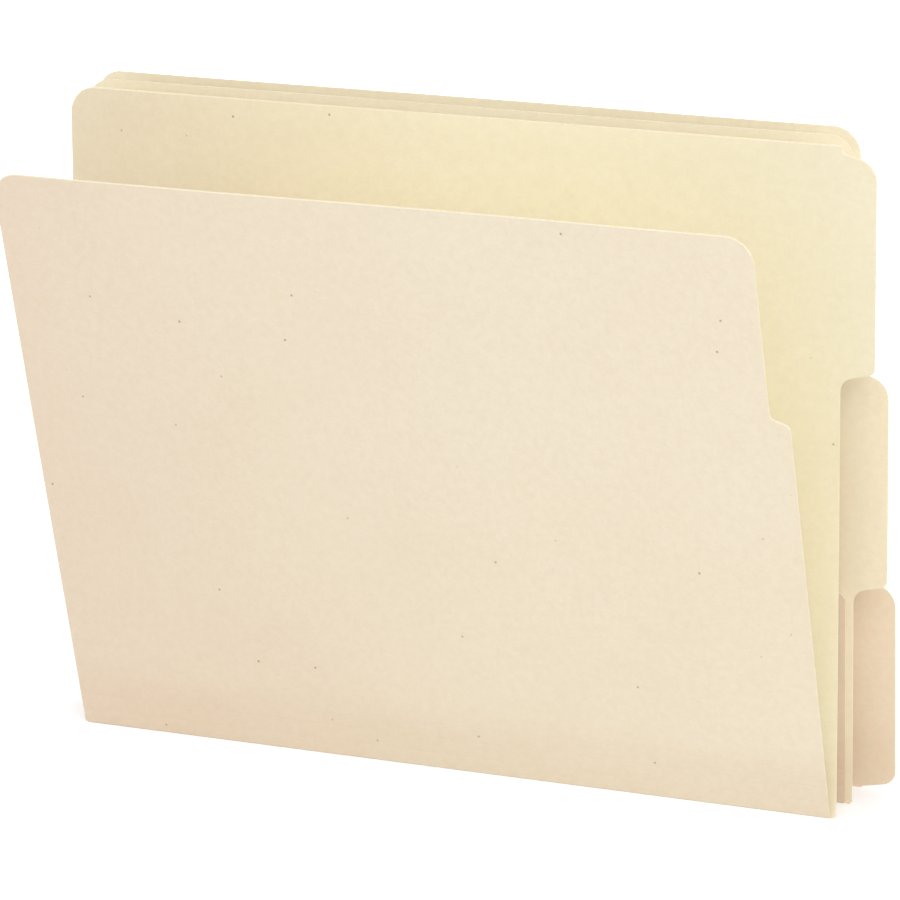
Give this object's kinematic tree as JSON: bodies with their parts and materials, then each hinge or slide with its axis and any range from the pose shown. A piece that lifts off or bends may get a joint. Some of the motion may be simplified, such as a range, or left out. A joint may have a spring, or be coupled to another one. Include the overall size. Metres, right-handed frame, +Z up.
{
  "type": "file folder",
  "caption": "Nested letter-size end-tab file folders in plain manila card, the front one held open, with creased folds, expansion scores and staggered tabs.",
  "frame": {"origin": "on the ground plane, below the middle of the row's bounding box", "axes": "+X along the folds towards the end tabs, +Y from the open front folder to the rear one, +Z up"},
  "size_m": [0.3142, 0.0888, 0.2413],
  "materials": {
    "manila_card": "matte"
  },
  "bodies": {
    "folder_1_back": {"folder_1_back_panel": "manila_card"},
    "folder_1_strip_1": {"folder_1_expansion_strip_1": "manila_card"},
    "folder_1_strip_2": {"folder_1_expansion_strip_2": "manila_card"},
    "folder_1_strip_3": {"folder_1_expansion_strip_3": "manila_card"},
    "folder_1_front": {"folder_1_front_panel": "manila_card"},
    "folder_2_back": {"folder_2_back_panel": "manila_card"},
    "folder_2_strip_1": {"folder_2_expansion_strip_1": "manila_card"},
    "folder_2_strip_2": {"folder_2_expansion_strip_2": "manila_card"},
    "folder_2_strip_3": {"folder_2_expansion_strip_3": "manila_card"},
    "folder_2_front": {"folder_2_front_panel": "manila_card"},
    "folder_3_back": {"folder_3_back_panel": "manila_card"},
    "folder_3_strip_1": {"folder_3_expansion_strip_1": "manila_card"},
    "folder_3_strip_2": {"folder_3_expansion_strip_2": "manila_card"},
    "folder_3_strip_3": {"folder_3_expansion_strip_3": "manila_card"},
    "folder_3_front": {"folder_3_front_panel": "manila_card"}
  },
  "joints": [
    {"name": "folder_1_opening", "type": "hinge", "parent": "folder_1_back", "child": "folder_1_strip_1", "pos_m": [-0.0048, 0.00831, 0.00043], "axis": [1, 0, 0], "range_deg": [-9, 60]},
    {"name": "folder_1_score_1_bend", "type": "hinge", "parent": "folder_1_strip_1", "child": "folder_1_strip_2", "pos_m": [-0.0048, 0.00667, 0.00612], "axis": [1, 0, 0], "range_deg": [-2, 5.3]},
    {"name": "folder_1_score_2_bend", "type": "hinge", "parent": "folder_1_strip_2", "child": "folder_1_strip_3", "pos_m": [-0.0048, 0.00522, 0.01231], "axis": [1, 0, 0], "range_deg": [-2, 5.3]},
    {"name": "folder_1_score_3_bend", "type": "hinge", "parent": "folder_1_strip_3", "child": "folder_1_front", "pos_m": [-0.0048, 0.00376, 0.01849], "axis": [1, 0, 0], "range_deg": [-2, 5.3]},
    {"name": "folder_2_pull_out", "type": "slide", "parent": "folder_1_back", "child": "folder_2_back", "axis": [1, 0, 0], "range_m": [0, 0.32]},
    {"name": "folder_2_opening", "type": "hinge", "parent": "folder_2_back", "child": "folder_2_strip_1", "pos_m": [-0.005, 0.02471, 0.00043], "axis": [1, 0, 0], "range_deg": [-0.4, 0.6]},
    {"name": "folder_2_score_1_bend", "type": "hinge", "parent": "folder_2_strip_1", "child": "folder_2_strip_2", "pos_m": [-0.005, 0.02447, 0.00635], "axis": [1, 0, 0], "range_deg": [-0.1, 0.15]},
    {"name": "folder_2_score_2_bend", "type": "hinge", "parent": "folder_2_strip_2", "child": "folder_2_strip_3", "pos_m": [-0.005, 0.02452, 0.0127], "axis": [1, 0, 0], "range_deg": [-0.1, 0.15]},
    {"name": "folder_2_score_3_bend", "type": "hinge", "parent": "folder_2_strip_3", "child": "folder_2_front", "pos_m": [-0.005, 0.02458, 0.01905], "axis": [1, 0, 0], "range_deg": [-0.1, 0.15]},
    {"name": "folder_3_pull_out", "type": "slide", "parent": "folder_1_back", "child": "folder_3_front", "axis": [1, 0, 0], "range_m": [0, 0.32]},
    {"name": "folder_3_opening", "type": "hinge", "parent": "folder_3_strip_1", "child": "folder_3_back", "pos_m": [-0.0079, 0.04251, 0.00043], "axis": [-1, 0, 0], "range_deg": [-0.9, 62]},
    {"name": "folder_3_score_1_bend", "type": "hinge", "parent": "folder_3_strip_2", "child": "folder_3_strip_1", "pos_m": [-0.0079, 0.04207, 0.00634], "axis": [-1, 0, 0], "range_deg": [-0.2, 9]},
    {"name": "folder_3_score_2_bend", "type": "hinge", "parent": "folder_3_strip_3", "child": "folder_3_strip_2", "pos_m": [-0.0079, 0.04191, 0.01269], "axis": [-1, 0, 0], "range_deg": [-0.2, 9]},
    {"name": "folder_3_score_3_bend", "type": "hinge", "parent": "folder_3_front", "child": "folder_3_strip_3", "pos_m": [-0.0079, 0.04174, 0.01903], "axis": [-1, 0, 0], "range_deg": [-0.2, 9]}
  ]
}
